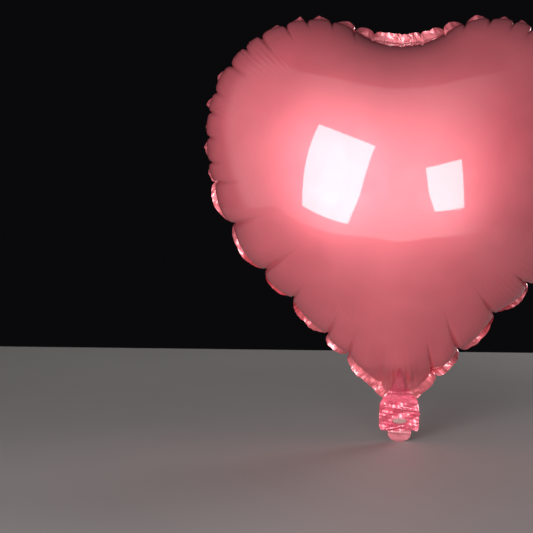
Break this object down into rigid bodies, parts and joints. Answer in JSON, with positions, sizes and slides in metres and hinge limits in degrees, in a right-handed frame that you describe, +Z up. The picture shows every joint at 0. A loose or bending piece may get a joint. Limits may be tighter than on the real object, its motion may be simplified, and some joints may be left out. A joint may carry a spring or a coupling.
{
  "type": "heart-shaped foil balloon",
  "caption": "Heart-shaped balloon of pink metallised foil, inflated, with a welded edge, a gathered neck and a flat filling tail that holds a self-sealing film valve.",
  "frame": {"origin": "centre of the tie line across the flat neck, between the heart and its tail", "axes": "+Z up through the heart's cleft, -Y towards the front, which is the side with the inflation port, and +X to the right seen from the front"},
  "size_m": [0.3827, 0.178, 0.4108],
  "materials": {
    "panel_foil": "pink metallised plastic foil, mirror gloss",
    "tail_foil": "pink metallised plastic foil, mirror gloss, crinkled",
    "tab_foil": "pink metallised plastic foil, mirror gloss, paler where it isn't stretched",
    "valve_film": "milky clear polyethylene film"
  },
  "bodies": {
    "envelope": {"front_panel": "panel_foil", "back_panel": "panel_foil", "neck_valve_front_film": "valve_film", "neck_valve_back_film": "valve_film"},
    "tail": {"tail_front_film": "tail_foil", "tail_back_film": "tail_foil", "tail_valve_front_film": "valve_film", "tail_valve_back_film": "valve_film"},
    "tab": {"tab_front_film": "tab_foil", "tab_back_film": "tab_foil"},
    "valve_front": {"inner_flap_front": "valve_film"},
    "valve_back": {"inner_flap_back": "valve_film"}
  },
  "joints": [
    {"name": "tail_fold", "type": "hinge", "parent": "envelope", "child": "tail", "pos_m": [0, 0, 0], "axis": [1, 0, 0], "range_deg": [-120, 120]},
    {"name": "tab_fold", "type": "hinge", "parent": "tail", "child": "tab", "pos_m": [0, 0, -0.0311], "axis": [1, 0, 0], "range_deg": [-120, 120]},
    {"name": "valve_front_part", "type": "hinge", "parent": "envelope", "child": "valve_front", "pos_m": [0, 0, 0.0263], "axis": [1, 0, 0], "range_deg": [0, 8], "stiffness_Nm_per_rad": 0.0005},
    {"name": "valve_back_part", "type": "hinge", "parent": "envelope", "child": "valve_back", "pos_m": [0, 0, 0.0263], "axis": [1, 0, 0], "range_deg": [-8, 0], "stiffness_Nm_per_rad": 0.0005}
  ],
  "couplings": [
    {"joint": "valve_back_part", "follows": "valve_front_part", "ratio": -1}
  ]
}
